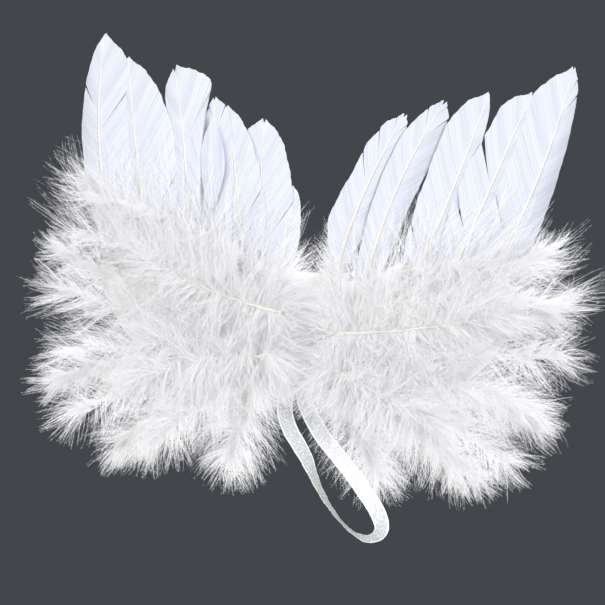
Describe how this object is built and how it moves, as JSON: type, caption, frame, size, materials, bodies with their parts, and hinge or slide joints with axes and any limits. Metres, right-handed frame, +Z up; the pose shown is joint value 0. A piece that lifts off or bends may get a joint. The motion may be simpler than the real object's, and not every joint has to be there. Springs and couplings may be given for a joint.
{
  "type": "feather angel wings",
  "caption": "Small pair of white feather wings: flight feathers over a felt backing, fluffy marabou plumes, foldable middle and a sheer ribbon hanging loop.",
  "frame": {"origin": "centre of the width of the felt strip between the wings, on its flat back face, level with the lower third of the strip", "axes": "+X across the span towards the right wing as seen from the front, +Y out of the flat felt back, -Y out of the fluffy front, +Z up towards the flight feather tips"},
  "size_m": [0.2122, 0.0146, 0.1843],
  "materials": {
    "felt": "soft napped white felt",
    "card": "uncoated white card",
    "glue": "translucent hot glue",
    "organza": "sheer white organza ribbon with bright edges",
    "flight_feather": "satin white feather vane with a pale cream quill",
    "marabou": "soft fluffy white down"
  },
  "bodies": {
    "spine": {"spine_felt": "felt", "ribbon_tails": "organza", "ribbon_patch": "felt"},
    "ribbon_loop": {"ribbon_loop": "organza"},
    "left_wing": {"left_felt": "felt", "left_card": "card", "left_glue": "glue", "flight_feather_left_1": "flight_feather", "flight_feather_left_2": "flight_feather", "flight_feather_left_3": "flight_feather", "flight_feather_left_4": "flight_feather", "flight_feather_left_5": "flight_feather", "flight_feather_left_6": "flight_feather", "flight_feather_left_7": "flight_feather", "rear_plume_left_1": "marabou", "rear_plume_left_2": "marabou", "rear_plume_left_3": "marabou", "rear_plume_left_4": "marabou", "rear_plume_left_5": "marabou", "rear_plume_left_6": "marabou", "front_plume_left_1": "marabou", "front_plume_left_2": "marabou", "front_plume_left_3": "marabou", "front_plume_left_4": "marabou", "front_plume_left_5": "marabou", "front_plume_left_6": "marabou", "front_plume_left_7": "marabou", "front_plume_left_8": "marabou"},
    "right_wing": {"right_felt": "felt", "right_card": "card", "right_glue": "glue", "flight_feather_right_1": "flight_feather", "flight_feather_right_2": "flight_feather", "flight_feather_right_3": "flight_feather", "flight_feather_right_4": "flight_feather", "flight_feather_right_5": "flight_feather", "rear_plume_right_1": "marabou", "rear_plume_right_2": "marabou", "rear_plume_right_3": "marabou", "rear_plume_right_4": "marabou", "rear_plume_right_5": "marabou", "rear_plume_right_6": "marabou", "front_plume_right_1": "marabou", "front_plume_right_2": "marabou", "front_plume_right_3": "marabou", "front_plume_right_4": "marabou", "front_plume_right_5": "marabou", "front_plume_right_6": "marabou", "front_plume_right_7": "marabou", "front_plume_right_8": "marabou"}
  },
  "joints": [
    {"name": "left_wing_fold", "type": "hinge", "parent": "spine", "child": "left_wing", "pos_m": [-0.0069, -0.0005, 0], "axis": [0, 0, -1], "range_deg": [-5, 80]},
    {"name": "right_wing_fold", "type": "hinge", "parent": "spine", "child": "right_wing", "pos_m": [0.0069, -0.0005, 0], "axis": [0, 0, 1], "range_deg": [-5, 80]},
    {"name": "ribbon_swing", "type": "hinge", "parent": "spine", "child": "ribbon_loop", "pos_m": [0, -0.0012, -0.0128], "axis": [-1, 0, 0], "range_deg": [0, 30]}
  ]
}
